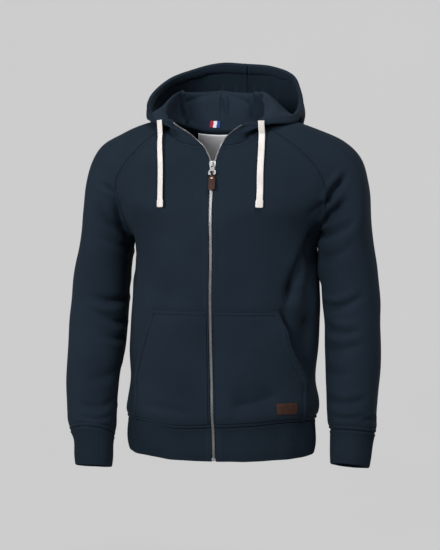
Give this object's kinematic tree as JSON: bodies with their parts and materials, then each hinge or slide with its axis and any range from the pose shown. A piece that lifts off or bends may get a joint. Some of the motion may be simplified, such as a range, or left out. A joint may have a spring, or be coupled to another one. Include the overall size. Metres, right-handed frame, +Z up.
{
  "type": "hooded zip sweatshirt",
  "caption": "Long-sleeved raglan sweatshirt with a hood, a full-length zip, split front pocket, ribbed hem and cuffs and a flat drawcord, filled out as worn with no wearer",
  "frame": {"origin": "between the shoulders, at the height where the wearer carries the yoke", "axes": "+Z up, front of the garment towards -Y, wearer's left towards +X"},
  "size_m": [0.6482, 0.3384, 0.8466],
  "materials": {
    "fleece": "brushed cotton fleece, dark navy, matt",
    "rib": "fine knitted rib, dark navy, matt",
    "zip_tape": "woven tape, dark navy",
    "zip_metal": "bright nickel-plated zip metal",
    "rivet": "copper-coloured rivet",
    "leather": "brown leather, slightly polished",
    "neck_cloth": "light grey heather jersey",
    "label": "woven label with upright dark red, white and pale blue stripes",
    "cord": "flat woven cotton cord, off-white"
  },
  "bodies": {
    "garment": {"back": "fleece", "cuff_left": "rib", "cuff_right": "rib", "drawcord_left": "cord", "drawcord_right": "cord", "flag_label": "label", "front_left": "fleece", "front_right": "fleece", "hem_rib": "rib", "hood_left": "fleece", "hood_right": "fleece", "leather_patch": "leather", "neck_patch": "neck_cloth", "pocket_left": "fleece", "pocket_right": "fleece", "sleeve_left": "fleece", "sleeve_right": "fleece", "zip_slider": "zip_metal", "zip_stop": "zip_metal", "zip_tape_left": "zip_tape", "zip_tape_right": "zip_tape", "zip_teeth_left": "zip_metal", "zip_teeth_right": "zip_metal"},
    "zip_pull": {"zip_pull": "zip_metal"},
    "zip_pull_tab": {"zip_pull_tab": "leather", "zip_pull_rivet": "rivet"}
  },
  "joints": [
    {"name": "pull_hinge", "type": "hinge", "parent": "garment", "child": "zip_pull", "pos_m": [-0.0043, -0.11464, -0.08687], "axis": [-0.9996, 0, -0.0281], "range_deg": [0, 130]},
    {"name": "tab_hinge", "type": "hinge", "parent": "zip_pull", "child": "zip_pull_tab", "pos_m": [-0.00381, -0.12027, -0.10417], "axis": [-0.9996, 0, -0.0281], "range_deg": [0, 80]}
  ]
}
